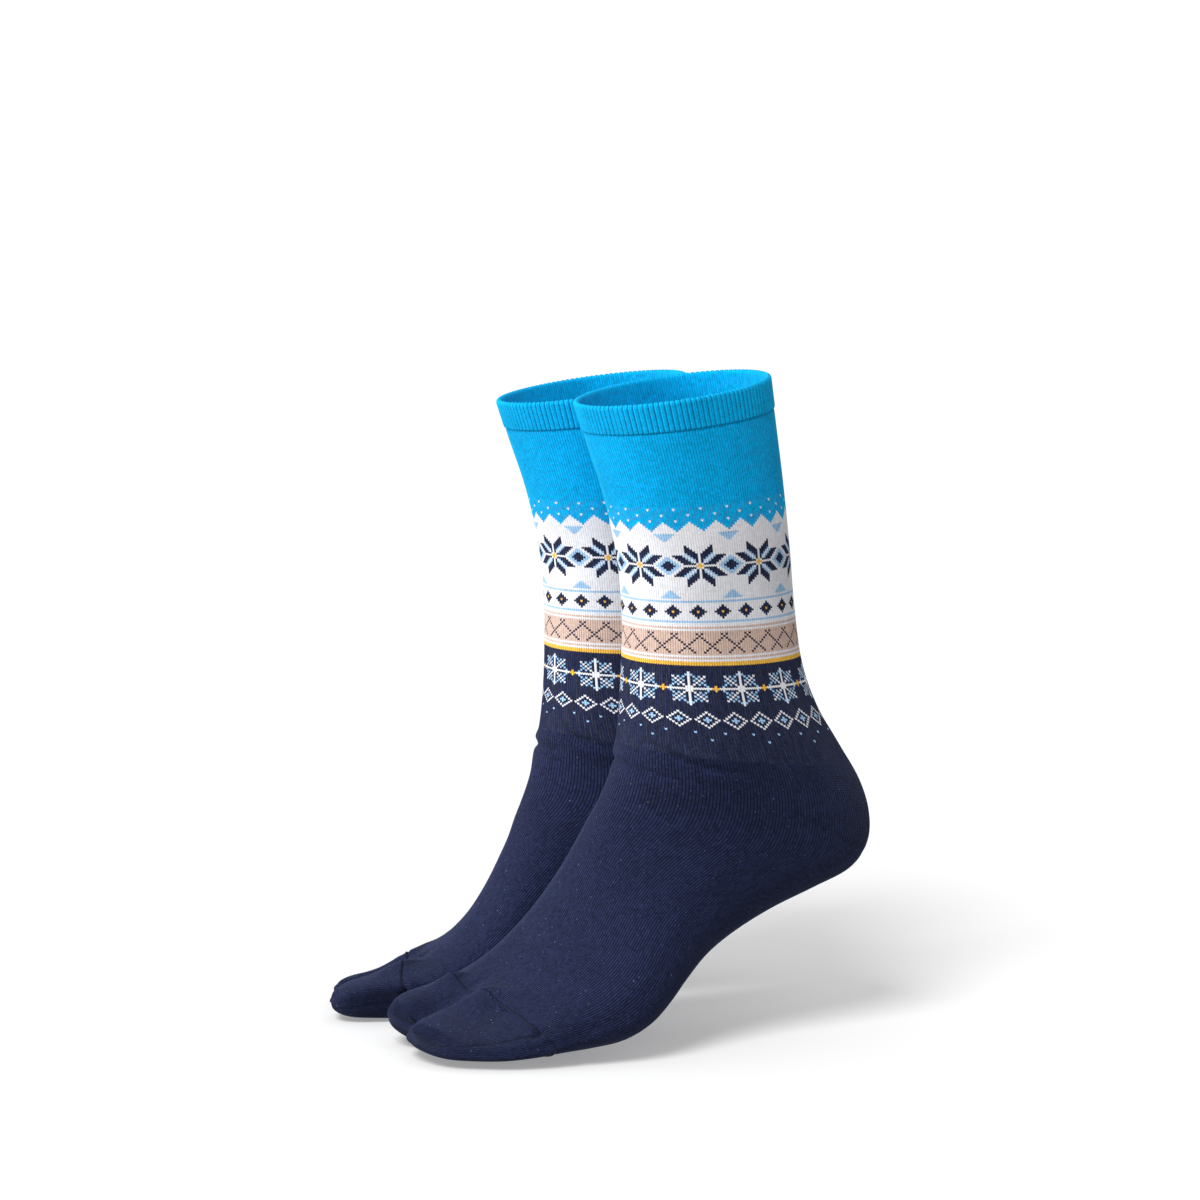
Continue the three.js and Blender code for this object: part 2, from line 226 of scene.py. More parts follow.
def face_point(station, angle, sock):
    """Points of a sock's face in millimetres. Angle 0 is the front or instep, a quarter turn the outside."""
    s = section_at(station)
    front = np.cos(angle)
    rise_forward = s["front_forward"] - s["back_forward"]
    rise_up = s["front_up"] - s["back_up"]
    height = np.hypot(rise_forward, rise_up)
    rise_forward, rise_up = rise_forward / height, rise_up / height
    power = np.where(front >= 0, s["front_power"], s["back_power"])
    reach = np.where(front >= 0, 1 - s["belly"], s["belly"])
    along = height * (s["belly"] + reach * signed_power(front, 2 / power))
    across = s["half_width"] * signed_power(np.sin(angle), 2 / power)
    outward = across + s["shift"] - s["lean"] * ease(front, *LEAN_TOP)
    forward = s["back_forward"] + along * rise_forward - s["skew"] * across * rise_up
    up = s["back_up"] + along * rise_up + s["skew"] * across * rise_forward
    up = up * (1 - s["roll"] * across / ROLL_WIDTH)
    forward, up = shape_toes(forward, outward, up, height, front, sock)
    up = up - sock["drop"] * ease(up, *DROP_HEIGHTS)
    up = (up + np.hypot(up, SOLE_SOFTNESS)) / 2

    turn = math.radians(sock["toe_out"])
    ahead = forward * math.cos(turn) - outward * math.sin(turn) + sock["forward"]
    aside = HALF_STANCE + forward * math.sin(turn) + outward * math.cos(turn)
    return np.stack([sock["side"] * aside, ORIGIN_AHEAD - ahead, up - FLOOR_TO_ORIGIN], -1)


cuff_front = face_point(np.array([0.0]), np.array([0.0]), SOCKS["left"])[0]
print("front of the left cuff at", np.round(cuff_front, 1), "mm")

# %% [markdown]
# ## Wales and courses
# Knitting has its own grid. A wale is a column of stitches, made by one needle, and a course is one turn
# of the tube. These socks have about 200 wales, 1.1 mm apart round the ankle, and courses 0.9 mm high.
# A texture of stitches could be wrapped round, but it stretches at the heel. The mesh uses the knitting's
# own grid, with two columns of faces to a wale, so the wales run down the leg and turn along the foot by
# themselves. Each ring is walked round from the back by its own length, which spaces the wales evenly.

# %% Grids of wales and courses
WALES = 200
COLUMNS = 2 * WALES

# A ring or a stretch of tube is measured in this many steps, the stretch along this many lines
FINE = 720
PROBES = 24


def wale_angles(stations, columns, sock):
    """The angle of each column at each station."""
    fine = np.linspace(-math.pi, math.pi, FINE + 1)
    rings = face_point(stations[:, None], fine[None, :], sock)
    steps = np.linalg.norm(np.diff(rings, axis=1), axis=2)
    walked = np.hstack([np.zeros((len(stations), 1)), np.cumsum(steps, axis=1)])
    shares = np.arange(columns) / columns
    return np.array([np.interp(shares * ring[-1], ring, fine) for ring in walked])


def tube_points(stations, columns, sock):
    """A grid of points on the face, one ring for each station."""
    return face_point(stations[:, None], wale_angles(stations, columns, sock), sock)


def walk_down(start, end, sock):
    """Fine stations between two seams, and how far down the tube each one lies, in millimetres."""
    fine = np.linspace(start, end, FINE)
    probes = np.linspace(-math.pi, math.pi, PROBES, endpoint=False)
    lines = face_point(fine[:, None], probes[None, :], sock)
    steps = np.linalg.norm(np.diff(lines, axis=0), axis=2).mean(axis=1)
    return fine, np.concatenate([[0], np.cumsum(steps)])


def even_stations(start, end, rows, sock):
    """Stations at even distances down the tube."""
    fine, walked = walk_down(start, end, sock)
    return np.interp(np.linspace(0, walked[-1], rows + 1), walked, fine)


def distance_down(stations, sock):
    """How far down the tube each station lies from the first, as a column of millimetres."""
    fine, walked = walk_down(stations[0], stations[-1], sock)
    return np.interp(stations, fine, walked)[:, None]


def grid_normals(points, sock):
    """Outward unit normals of a grid whose rings run down the sock."""
    down = np.gradient(points, axis=0)
    around = np.roll(points, -1, axis=1) - np.roll(points, 1, axis=1)
    normals = np.cross(down, around) * sock["side"]
    return normals / np.linalg.norm(normals, axis=2, keepdims=True)


for name, sock in SOCKS.items():
    leg_length = walk_down(CUFF_SEAM, LEG_END, sock)[1][-1]
    foot_length = walk_down(LEG_END, TOE_SEAM, sock)[1][-1]
    print(name, "leg", round(leg_length), "mm, foot", round(foot_length), "mm down the middle")

# %% [markdown]
# ## Yarns
# The yarn is dyed before it is knitted, so each stitch has one flat colour from a small set. The colours
# could be picked in each material, but kept in one table they are the same yarns on every piece. They are
# as seen in even white light, and one function turns their sRGB hex into the linear values of the shaders.

# %% Yarn colours
# Each yarn's colour, and how much its stitches differ in tone, which shows most on dark yarn
YARNS = {
    "sky": ("#04b4e8", 0.07),
    "white": ("#ececf0", 0.03),
    "pale": ("#a8cdea", 0.05),
    "sand": ("#d8c0b3", 0.05),
    "navy": ("#232947", 0.16),
    "gold": ("#f0c452", 0.06),
}
SKY, WHITE, PALE, SAND, NAVY, GOLD = range(len(YARNS))


def linear(hex_colour):
    """An sRGB hex value as linear red, green and blue."""
    srgb = np.array([int(hex_colour[k : k + 2], 16) for k in (1, 3, 5)]) / 255
    return np.where(srgb <= 0.04045, srgb / 12.92, ((srgb + 0.055) / 1.055) ** 2.4)


yarn_colours = np.array([linear(colour) for colour, _ in YARNS.values()])
tone_spreads = np.array([spread for _, spread in YARNS.values()])
print("yarns:", ", ".join(YARNS))

# %% [markdown]
# ## The pattern chart
# A jacquard machine picks one of several yarns for each stitch, so the pattern is drawn in whole
# stitches, as on squared paper. A painted image would blur between stitches. The chart here is a stack of
# bands: each is a rule for a stitch at wale x and course y, and every repeat divides 200, so that the
# pattern meets itself at the back. The bands are traditional small motifs: flecks, dog teeth, eight-point
# stars, a lattice and frost crystals.

# %% Bands of the chart
STAR_REPEAT, STAR_ROWS = 25, 33
CRYSTAL_REPEAT, CRYSTAL_ROWS = 20, 22
SMALL_REPEAT = 10


def from_middle(position, repeat):
    """How many stitches a position lies from the middle of its repeat."""
    return np.abs(position % repeat - repeat // 2)


def flecks(x, y):
    """Single white stitches, in staggered rows."""
    return np.where((y % 3 == 0) & ((x + 5 * (y // 3)) % SMALL_REPEAT == 0), WHITE, SKY)


def dog_teeth(x, y):
    """Teeth of white that widen until they meet."""
    return np.where(from_middle(x, SMALL_REPEAT) <= y, WHITE, SKY)


def stars(x, y):
    """Eight-point stars on white, with a diamond between neighbours."""
    across = from_middle(x, STAR_REPEAT)
    above = np.abs(y - STAR_ROWS // 2)
    low, high = np.minimum(across, above), np.maximum(across, above)
    petal = (low >= 1) & (low <= 5) & (high > low) & (high <= low + 5)
    diamond = STAR_REPEAT // 2 - across + above
    knit = np.where(petal, NAVY, WHITE)
    knit = np.where(petal & (high == low + 1) & (low > 1), PALE, knit)
    knit = np.where(across + above <= 1, GOLD, knit)
    knit = np.where(diamond <= 4, PALE, knit)
    knit = np.where(diamond <= 2, NAVY, knit)
    corner = STAR_REPEAT // 2 - across + (STAR_ROWS // 2 - above)
    return np.where(corner <= 3, PALE, knit)


def beads(x, y):
    """A row of navy beads between pale lines."""
    away = from_middle(x, SMALL_REPEAT) + np.abs(y - 6)
    knit = np.where(away <= 3, NAVY, WHITE)
    knit = np.where(away == 0, GOLD, knit)
    return np.where((y == 1) | (y == 11), PALE, knit)


def lattice(x, y):
    """Crossing navy lines on sand, edged with white."""
    crossing = ((x + y) % SMALL_REPEAT == 0) | ((x - y) % SMALL_REPEAT == 0)
    knit = np.where(crossing & (y > 3) & (y < 14), NAVY, SAND)
    return np.where((y == 0) | (y == 2) | (y == 15) | (y == 17), WHITE, knit)


def crystals(x, y):
    """Frost crystals in white and pale blue on navy."""
    across = from_middle(x, CRYSTAL_REPEAT)
    above = np.abs(y - CRYSTAL_ROWS // 2)
    low, high = np.minimum(across, above), np.maximum(across, above)
    arm = ((low == 0) & (high <= 8)) | ((low == high) & (high <= 6))
    twig = (low + high == 8) & (low <= 2) & (low > 0)
    branch = (low + 2 == high) & (high >= 4) & (high <= 6)
    knit = np.where(arm, WHITE, NAVY)
    knit = np.where(twig | branch, PALE, knit)
    away = CRYSTAL_REPEAT // 2 - across + above
    return np.where(away <= 1, GOLD, knit)


def lozenges(x, y):
    """Hollow lozenges with a pale heart."""
    away = from_middle(x, SMALL_REPEAT) + np.abs(y - 5)
    return np.where(away == 4, WHITE, np.where(away <= 1, PALE, NAVY))


def scatter(x, y):
    """Stray stitches that thin out into the plain navy."""
    spacing = np.where(y < 5, SMALL_REPEAT, CRYSTAL_REPEAT)
    mark = (y % 4 == 1) & ((x + 5 * (y // 4)) % spacing == 0)
    return np.where(mark, PALE, NAVY)


def plain(yarn):
    """One yarn all over."""
    return lambda x, y: np.full(np.broadcast(x, y).shape, yarn)


print("a star takes", STAR_REPEAT, "wales and", STAR_ROWS, "courses")

# %% The whole chart
# Name, courses and rule of each band, from the welt down
BANDS = (
    ("plain sky", 40, plain(SKY)),
    ("flecks", 7, flecks),
    ("dog teeth", 6, dog_teeth),
    ("stars", STAR_ROWS, stars),
    ("beads", 13, beads),
    ("lattice", 18, lattice),
    ("gold line", 2, plain(GOLD)),
    ("crystals", CRYSTAL_ROWS, crystals),
    ("lozenges", 11, lozenges),
    ("scatter", 9, scatter),
    ("plain navy", 8, plain(NAVY)),
)
wale_numbers = np.arange(WALES)[None, :]
chart = np.vstack([draw(wale_numbers, np.arange(rows)[:, None]) for _, rows, draw in BANDS])
LEG_COURSES = len(chart)
JACQUARD_START = BANDS[0][1]

# No two stitches are quite alike. Their tones spread at random, up to this many times a yarn's spread.
TONE_LIMIT = 2
SEED = 11
rng = np.random.default_rng(SEED)
stitch_noise = rng.standard_normal((LEG_COURSES, WALES))
print("the chart is", WALES, "wales by", LEG_COURSES, "courses")


def toned(yarn, row, wale):
    """The colours of the stitches at some rows and wales."""
    noise = np.clip(stitch_noise[row % LEG_COURSES, wale % WALES], -TONE_LIMIT, TONE_LIMIT)
    tone = 1 + tone_spreads[yarn] * noise
    return yarn_colours[yarn] * tone[..., None]


# %% [markdown]
# ## One shell for each piece
# Each piece is a closed thin shell: the face that shows, the lining inside it, and rims that join them.
# Colours, painted shade along seams and grooves, and stitch counts go onto the mesh as attributes, which
# the materials read. A modifier could thicken one surface, but it would double the fine grid, and the
# lining needs only one column in four.

# %% Shell builder
# The face is smooth. Only edges bent more than this, at the seams, stay sharp.
SHARP_DEGREES = 62


def ring_quads(first, row, columns, flip):
    """Quads between a ring of vertices and the next one, and each corner's (ring, column) place."""
    k = np.arange(columns)
    k2 = (k + 1) % columns
    near, far = first + row * columns, first + (row + 1) * columns
    quads = np.stack([near + k, far + k, far + k2, near + k2], 1)
    rings = np.tile([row, row + 1, row + 1, row], (columns, 1))
    places = np.stack([rings, np.stack([k, k, k + 1, k + 1], 1)], 2)
    return (quads[:, ::-1], places[:, ::-1]) if flip else (quads, places)


class Shell:
    """Collects the faces of one piece, with the yarn colour and stitch place of every corner."""

    def __init__(self, name, sock):
        self.name = name
        self.flip = sock["side"] < 0
        # seams holds the shade painted on each point along seams, gores and rib grooves
        self.points, self.seams, self.floats = [], [], []
        self.faces, self.stitches, self.colours = [], [], []
        self.count = 0

    def add_points(self, points, painted_shade=0.0, floats=0.0):
        """Adds a grid or list of points and returns the number of its first vertex."""
        first = self.count
        self.points.append(points.reshape(-1, 3))
        self.seams.append(np.broadcast_to(painted_shade, points.shape[:-1]).reshape(-1))
        self.floats.append(np.broadcast_to(floats, points.shape[:-1]).reshape(-1))
        self.count += len(self.points[-1])
        return first

    def add_face(self, corners, colour, stitches=None):
        """Adds one face of any number of corners, with the stitch place of each where there is one."""
        stitches = np.zeros((len(corners), 2)) if stitches is None else np.asarray(stitches, float)
        if self.flip:
            corners, stitches = corners[::-1], stitches[::-1]
        self.faces.append([int(v) for v in corners])
        self.stitches.append(stitches)
        self.colours.append(np.broadcast_to(colour, (len(corners), 3)))

    def add_grid(self, first, rows, columns, stitch_at, colour_at, inside=False):
        """Adds the quads of a grid. stitch_at and colour_at take arrays of rings and columns."""
        for row in range(rows - 1):
            quads, places = ring_quads(first, row, columns, self.flip != inside)
            self.faces.extend(quads.tolist())
            self.stitches.append(stitch_at(places[..., 0], places[..., 1]).reshape(-1, 2))
            colours = colour_at(np.full(columns, row), np.arange(columns))
            self.colours.append(np.repeat(colours, 4, axis=0))

    def make(self, material):
        """Makes the Blender object."""
        mesh = bpy.data.meshes.new(self.name)
        mesh.from_pydata(np.vstack(self.points) * MM, [], self.faces)
        mesh.polygons.foreach_set("use_smooth", np.ones(len(mesh.polygons), bool))
        mesh.set_sharp_from_angle(angle=math.radians(SHARP_DEGREES))
        uv = mesh.uv_layers.new(name="stitches")
        uv.data.foreach_set("uv", np.vstack(self.stitches).astype(np.float32).ravel())
        colour = mesh.color_attributes.new("yarn", "FLOAT_COLOR", "CORNER")
        rgb = np.vstack(self.colours)
        rgba = np.hstack([rgb, np.ones((len(rgb), 1))])
        colour.data.foreach_set("color", rgba.astype(np.float32).ravel())
        # Painted shade along seams and grooves, and the share of floats, go on as point attributes
        for label, values in (("painted_shade", self.seams), ("floats", self.floats)):
            layer = mesh.attributes.new(label, "FLOAT", "POINT")
            layer.data.foreach_set("value", np.concatenate(values).astype(np.float32))
        mesh.materials.append(material)
        piece = bpy.data.objects.new(self.name, mesh)
        bpy.context.scene.collection.objects.link(piece)
        print(self.name, "has", sum(len(face) - 2 for face in self.faces), "triangles")
        return piece


print("edges bent more than", SHARP_DEGREES, "degrees stay sharp")

# %% Lining and rims
# The lining has one column, and one row, to this many of the face's
LINING_STEP = 4

# Where a ring turns tightly, the lining keeps to this share of its radius, so that it can't cross itself
KNIT_THICKNESS = 1.2
TIGHTEST = 0.4
TINY = 1e-6


def lining_depth(points, thickness):
    """The lining's depth under each point: the thickness, or less where a ring turns too tightly for it."""
    before, after = np.roll(points, 1, axis=1), np.roll(points, -1, axis=1)
    a = np.linalg.norm(points - before, axis=2)
    b = np.linalg.norm(after - points, axis=2)
    c = np.linalg.norm(after - before, axis=2)
    area = 0.5 * np.linalg.norm(np.cross(points - before, after - points), axis=2)
    radius = a * b * c / np.maximum(4 * area, TINY)
    return np.minimum(thickness, TIGHTEST * radius)


def add_lining(shell, points, normals, lift, rows, course_at, colour_at):
    """Adds the lining under some rows of a grid. Returns its rows of points and its first vertex."""
    chosen = np.ix_(rows, np.arange(0, COLUMNS, LINING_STEP))
    depth = lining_depth(points[chosen], KNIT_THICKNESS) - lift[chosen]
    lining = points[chosen] - normals[chosen] * depth[..., None]
    first = shell.add_points(lining)

    def stitch_at(row, column):
        return np.stack([column * LINING_STEP / 2, course_at(rows[row])], -1)

    def lining_colour(row, column):
        return colour_at(rows[row])

    shell.add_grid(first, len(rows), COLUMNS // LINING_STEP, stitch_at, lining_colour, inside=True)
    return lining, first


def add_rim(shell, face_start, lining_start, colour, top):
    """Joins an edge of the face to the lining's, LINING_STEP face edges to each lining edge."""
    columns = COLUMNS // LINING_STEP
    for k in range(columns):
        chain = [face_start + (k * LINING_STEP + j) % COLUMNS for j in range(LINING_STEP + 1)]
        corners = [*chain, lining_start + (k + 1) % columns, lining_start + k]
        if not top:
            corners = corners[::-1]
        shell.add_face(corners, colour)


print("linings have", COLUMNS // LINING_STEP, "columns")

# %% [markdown]
# ## Folds of a worn sock
# The tube folds in front of the ankle, where it turns forward, and is slack by the toe seam. A cloth
# simulation makes folds, but not where one wants them. Here each is a lift or a dip of the face along a
# short line, given by places on the tube: a station, and a share of the way round from the back (a half is
# the front, three quarters the outside). They are soft bells about a line, so they fade out by themselves.

# %% Creases
# Each crease is its places, its half width and its lift in millimetres
ANKLE_CREASES = {
    "fold across the ankle": (((7.05, 0.54), (7.3, 0.58), (7.89, 0.648), (8.0, 0.73)), 1.6, -1.2),
    "roll above it": (((6.7, 0.55), (7.45, 0.64), (7.6, 0.72)), 2.6, 0.7),
    "roll below it": (((7.6, 0.56), (8.25, 0.645), (8.35, 0.72)), 2.6, 0.6),
    "fold under the instep bend": (((8.25, 0.42), (8.36, 0.47), (8.57, 0.58), (8.7, 0.63)), 1.7, -1.3),
    "roll over that fold": (((7.9, 0.44), (8.0, 0.49), (8.2, 0.59)), 2.4, 0.9),
    "far side fold": (((7.2, 0.45), (7.6, 0.4), (7.8, 0.33)), 1.6, -1.2),
    "far side roll": (((7.6, 0.46), (8.0, 0.4), (8.1, 0.34)), 2.4, 0.8),
}
TOE_CREASES = {
    "slack behind the middle peak": (((21.6, 0.52), (20.87, 0.552), (20.0, 0.63)), 2.8, 1.5),
    "hollow beside it": (((21.3, 0.46), (20.6, 0.47), (19.6, 0.49)), 3.5, -1.3),
    "slack behind the big toe": (((21.8, 0.39), (21.0, 0.41), (20.0, 0.42)), 2.6, 1.3),
    "ridge ahead of the peak": (((21.1, 0.53), (22.8, 0.535), (24.6, 0.5)), 2.6, 0.9),
    "dip ahead of the seam": (((21.5, 0.58), (22.0, 0.64), (22.9, 0.68)), 3.2, -1.0),
    "outer pucker": (((21.2, 0.725), (21.45, 0.745), (21.7, 0.755)), 1.5, -1.9),
    "ripple behind it": (((21.05, 0.7), (20.9, 0.74), (20.7, 0.8)), 1.7, 1.0),
    "crease to the sole": (((20.9, 0.76), (20.5, 0.8), (20.2, 0.84)), 1.8, -0.9),
    "inner pucker": (((21.2, 0.31), (21.4, 0.29), (21.7, 0.28)), 1.5, -1.8),
    "inner ripple": (((21.05, 0.34), (20.9, 0.3), (20.7, 0.25)), 1.7, 1.0),
}
LINE_STEPS = 14


def line_points(places, sock):
    """Points on the face along a line through some (station, share) places."""
    knots = np.arange(len(places))
    steps = np.linspace(0, knots[-1], LINE_STEPS)
    stations = np.interp(steps, knots, [place[0] for place in places])
    shares = np.interp(steps, knots, [place[1] for place in places])
    angles = wale_angles(stations, COLUMNS, sock)
    closed = np.hstack([angles, angles[:, :1] + 2 * math.pi])
    columns = np.arange(COLUMNS + 1) / COLUMNS
    chosen = np.array([np.interp(share, columns, row) for share, row in zip(shares, closed)])
    return face_point(stations, chosen, sock)


def distance_to_line(points, places, sock):
    """How far each point of a grid lies from a line through some places, and its share of the way along."""
    line = line_points(places, sock)
    nearest = np.full(points.shape[:-1], np.inf)
    along = np.zeros(points.shape[:-1])
    for k, (a, b) in enumerate(zip(line[:-1], line[1:])):
        span = b - a
        t = np.clip(((points - a) @ span) / (span @ span), 0, 1)
        distance = np.linalg.norm(points - a - t[..., None] * span, axis=-1)
        along = np.where(distance < nearest, (k + t) / (len(line) - 1), along)
        nearest = np.minimum(nearest, distance)
    return nearest, along


def crease_lift(points, creases, sock):
    """The lift that some creases give each point of a grid. A crease runs out at both ends."""
    lift = np.zeros(points.shape[:-1])
    for places, half_width, height in creases.values():
        distance, along = distance_to_line(points, places, sock)
        lift += height * bell(distance, half_width) * np.sin(math.pi * along)
    return lift


def mirrored(places):
    """The same line on the other side of the sock."""
    return tuple((station, 1 - share) for station, share in places)


print(len(ANKLE_CREASES), "creases at the ankle and", len(TOE_CREASES), "at the toes")

# %% [markdown]
# ## Knit materials
# The socks are combed cotton with a little elastic, knitted plain and left unbrushed, so the yarn is
# matt with a short nap. The nap is what the eye knows cotton by: it lightens the edges that turn away,
# and the shader's sheen gives that. Shade is painted into the colour of the gaps between stitches and
# along seams, and a bump rounds each leg of the V. A scanned knit would repeat and would not follow the
# wales, so one set of nodes draws the stitch from its place in the grid, for all four finishes. Yarn
# colour comes from the mesh.

# %% Node helper
# A Mix node has sockets A, B and Result for each kind of value. These are the numbers of its colour ones.
MIX_A, MIX_B, MIX_RESULT = 6, 7, 2


def add(tree, kind, inputs=(), **settings):
    """Adds a shader node with its settings. Inputs are values or links, in order or by socket."""
    node = tree.nodes.new("ShaderNode" + kind)
    for key, value in settings.items():
        setattr(node, key, value)
    pairs = inputs.items() if isinstance(inputs, dict) else enumerate(inputs)
    for socket, value in pairs:
        if isinstance(value, bpy.types.NodeSocket):
            tree.links.new(value, node.inputs[socket])
        else:
            node.inputs[socket].default_value = value
    return node


print("a Mix node's colours are its sockets", MIX_A, "and", MIX_B)

# %% Height of a stitch
# Across half a wale, from the groove at 0 to the middle of the V at 0.5, the yarn rises within the first
# span and dips again in the second. Along its leg it rises from where it passes under the next loop.
GROOVE_SPAN = (0.0, 0.26)
MIDDLE_SPAN, MIDDLE_HEIGHTS = (0.36, 0.5), (1.0, 0.7)
LOOP_SPAN, LOOP_HEIGHTS = (0.0, 0.24), (0.4, 1.0)


def stitch_height(tree, stitches):
    """The yarn's height in its stitch, and its height across the wale alone, both from 0 to 1."""
    place = add(tree, "SeparateXYZ", [stitches.outputs["UV"]])
    side = add(tree, "Math", [place.outputs["X"], 0.5], operation="PINGPONG")
    course = add(tree, "Math", [place.outputs["Y"], side.outputs[0]], operation="SUBTRACT")
    turn = add(tree, "Math", [course.outputs[0], 0.5], operation="PINGPONG")
    edge = add(tree, "MapRange", [side.outputs[0], *GROOVE_SPAN], interpolation_type="SMOOTHSTEP")
    middle = add(tree, "MapRange", [side.outputs[0], *MIDDLE_SPAN, *MIDDLE_HEIGHTS])
    across = add(tree, "Math", [edge.outputs[0], middle.outputs[0]], operation="MULTIPLY")
    along = add(tree, "MapRange", [turn.outputs[0], *LOOP_SPAN, *LOOP_HEIGHTS])
    height = add(tree, "Math", [across.outputs[0], along.outputs[0]], operation="MULTIPLY")
    return height.outputs[0], across.outputs[0]


print("the middle of a V is", MIDDLE_HEIGHTS[1], "of the yarn's height")

# %% Cotton jersey
# Typical of cotton yarn: the refractive index of cellulose, and very rough
COTTON_IOR = 1.53
COTTON_ROUGHNESS = 0.92
# The hairs of the yarn break up nearly all of its mirror light, so only this much is left
YARN_GLOSS = 0.05
NAP_ROUGHNESS = 0.5
NAP_COLOUR = "#ddeaff"
STITCH_RELIEF = 0.22 * MM
BUMP_STRENGTH = 0.8

# Painted shade in the gaps between stitches: light that comes out of a gap has met the yarn about this
# many times, so its colour is painted deeper. The painted shade is darkest where the yarn is lower than
# the first of two heights, and ends at the second.
GAP_BOUNCES = 2.6
GAP_SHADE_SPAN = (0.05, 0.75)

# A float shows in the groove beside its wale for several courses: noise drawn out along the wale
FLOAT_COLOUR = "#83868f"
STREAK_SHAPE = (0.8, 0.1, 0.0)
STREAK_SPAN, STREAK_SHARES = (0.4, 0.65), (0.12, 0.4)
OPEN_SPAN = (0.0, 0.35)

# Dye is uneven over centimetres. Lint is finer than this, and drawn as wide as it needs to show.
PATCH_SIZE = 26 * MM
PATCH_SPAN, PATCH_TONES = (0.3, 0.7), (0.93, 1.07)
LINT_COLOUR = "#8b90aa"
LINT_SIZE = 0.9 * MM
LINT_EDGE, LINT_SHARE = 0.04, 0.35
# The yarn's tone where the most shade is painted along seams, gores and rib grooves
SEAM_SHADE_TONE = 0.35


def cotton(name, nap, gap_shade_depth, lint_from):
    """Cotton knitted plain: nap is the sheen, the gap setting how much shade is painted between stitches,
    lint_from how rare lint is.
    """
    material = bpy.data.materials.new(name)
    material.use_nodes = True
    tree = material.node_tree
    shader = tree.nodes["Principled BSDF"]
    shader.inputs["Roughness"].default_value = COTTON_ROUGHNESS
    shader.inputs["IOR"].default_value = COTTON_IOR
    shader.inputs["Specular IOR Level"].default_value = YARN_GLOSS
    shader.inputs["Sheen Weight"].default_value = nap
    shader.inputs["Sheen Roughness"].default_value = NAP_ROUGHNESS
    shader.inputs["Sheen Tint"].default_value = (*linear(NAP_COLOUR), 1.0)

    stitches = add(tree, "UVMap", uv_map="stitches")
    cloth = add(tree, "TexCoord").outputs["Object"]
    height, across = stitch_height(tree, stitches)

    # Painted shade in the gaps between stitches: the yarn's colour is deepened there, so navy turns black and
    # white hardly changes
    yarn = add(tree, "Attribute", attribute_name="yarn").outputs["Color"]
    gap_shade_colour = add(tree, "Gamma", [yarn, GAP_BOUNCES])
    gap = add(tree, "MapRange", [height, *GAP_SHADE_SPAN, gap_shade_depth, 0.0])
    colours = {"Factor": gap.outputs[0], MIX_A: yarn, MIX_B: gap_shade_colour.outputs[0]}
    knit = add(tree, "Mix", colours, data_type="RGBA")

    # Floats of the other yarns grin through the grooves of the jacquard as pale streaks
    floats = add(tree, "Attribute", attribute_name="floats")
    drawn_out = add(tree, "VectorMath", [stitches.outputs["UV"], STREAK_SHAPE], operation="MULTIPLY")
    streaks = add(tree, "TexNoise", {"Vector": drawn_out.outputs[0], "Scale": 1.0, "Detail": 2.0})
    streak = add(tree, "MapRange", [streaks.outputs[0], *STREAK_SPAN, *STREAK_SHARES])
    open_groove = add(tree, "MapRange", [across, *OPEN_SPAN, 1.0, 0.0])
    grin = add(tree, "Math", [open_groove.outputs[0], streak.outputs[0]], operation="MULTIPLY")
    grin = add(tree, "Math", [grin.outputs[0], floats.outputs["Fac"]], operation="MULTIPLY")
    pale = (*linear(FLOAT_COLOUR), 1.0)
    colours = {"Factor": grin.outputs[0], MIX_A: knit.outputs[MIX_RESULT], MIX_B: pale}
    knit = add(tree, "Mix", colours, data_type="RGBA")

    # Uneven dye, and the shade painted along seams, gores and rib grooves
    patches = add(tree, "TexNoise", {"Vector": cloth, "Scale": 1 / PATCH_SIZE, "Detail": 3.0})
    patch = add(tree, "MapRange", [patches.outputs[0], *PATCH_SPAN, *PATCH_TONES])
    painted_shade = add(tree, "Attribute", attribute_name="painted_shade")
    painted_shade_tone = add(tree, "MapRange", [painted_shade.outputs["Fac"], 0.0, 1.0, 1.0, SEAM_SHADE_TONE])
    shade = add(tree, "Math", [patch.outputs[0], painted_shade_tone.outputs[0]], operation="MULTIPLY")
    toning = {"Vector": knit.outputs[MIX_RESULT], "Scale": shade.outputs[0]}
    shaded = add(tree, "VectorMath", toning, operation="SCALE")

    # A few specks of lint
    lint = add(tree, "TexNoise", {"Vector": cloth, "Scale": 1 / LINT_SIZE, "Detail": 0.0})
    speck = add(tree, "MapRange", [lint.outputs[0], lint_from, lint_from + LINT_EDGE, 0.0, LINT_SHARE])
    colours = {"Factor": speck.outputs[0], MIX_A: shaded.outputs[0], MIX_B: (*linear(LINT_COLOUR), 1.0)}
    finished = add(tree, "Mix", colours, data_type="RGBA")
    tree.links.new(finished.outputs[MIX_RESULT], shader.inputs["Base Color"])

    bump = add(tree, "Bump", {"Height": height, "Distance": STITCH_RELIEF, "Strength": BUMP_STRENGTH})
    tree.links.new(bump.outputs[0], shader.inputs["Normal"])
    return material


print("the bump is", STITCH_RELIEF / MM, "mm deep")

# %% Finishes
FINISHES = {
    # Ribbed cotton with elastic: bright matt crests beside shaded grooves
    "cuff": cotton("ribbed_cotton", nap=0.03, gap_shade_depth=0.7, lint_from=0.86),
    # Jacquard in many yarns: flat, matt colours, crisp from stitch to stitch, greyer where floats show
    "leg": cotton("jacquard_cotton", nap=0.03, gap_shade_depth=0.9, lint_from=0.86),
    # Plain dark cotton: painted shade deep in the gaps between fine wales, a pale bloom on turned edges, and
    # specks of lint
    "foot": cotton("plain_navy_cotton", nap=0.06, gap_shade_depth=0.9, lint_from=0.82),
    # The same cotton, knitted on into the toe cap
    "toe": cotton("toe_navy_cotton", nap=0.06, gap_shade_depth=0.9, lint_from=0.82),
}
print("finishes:", ", ".join(material.name for material in FINISHES.values()))

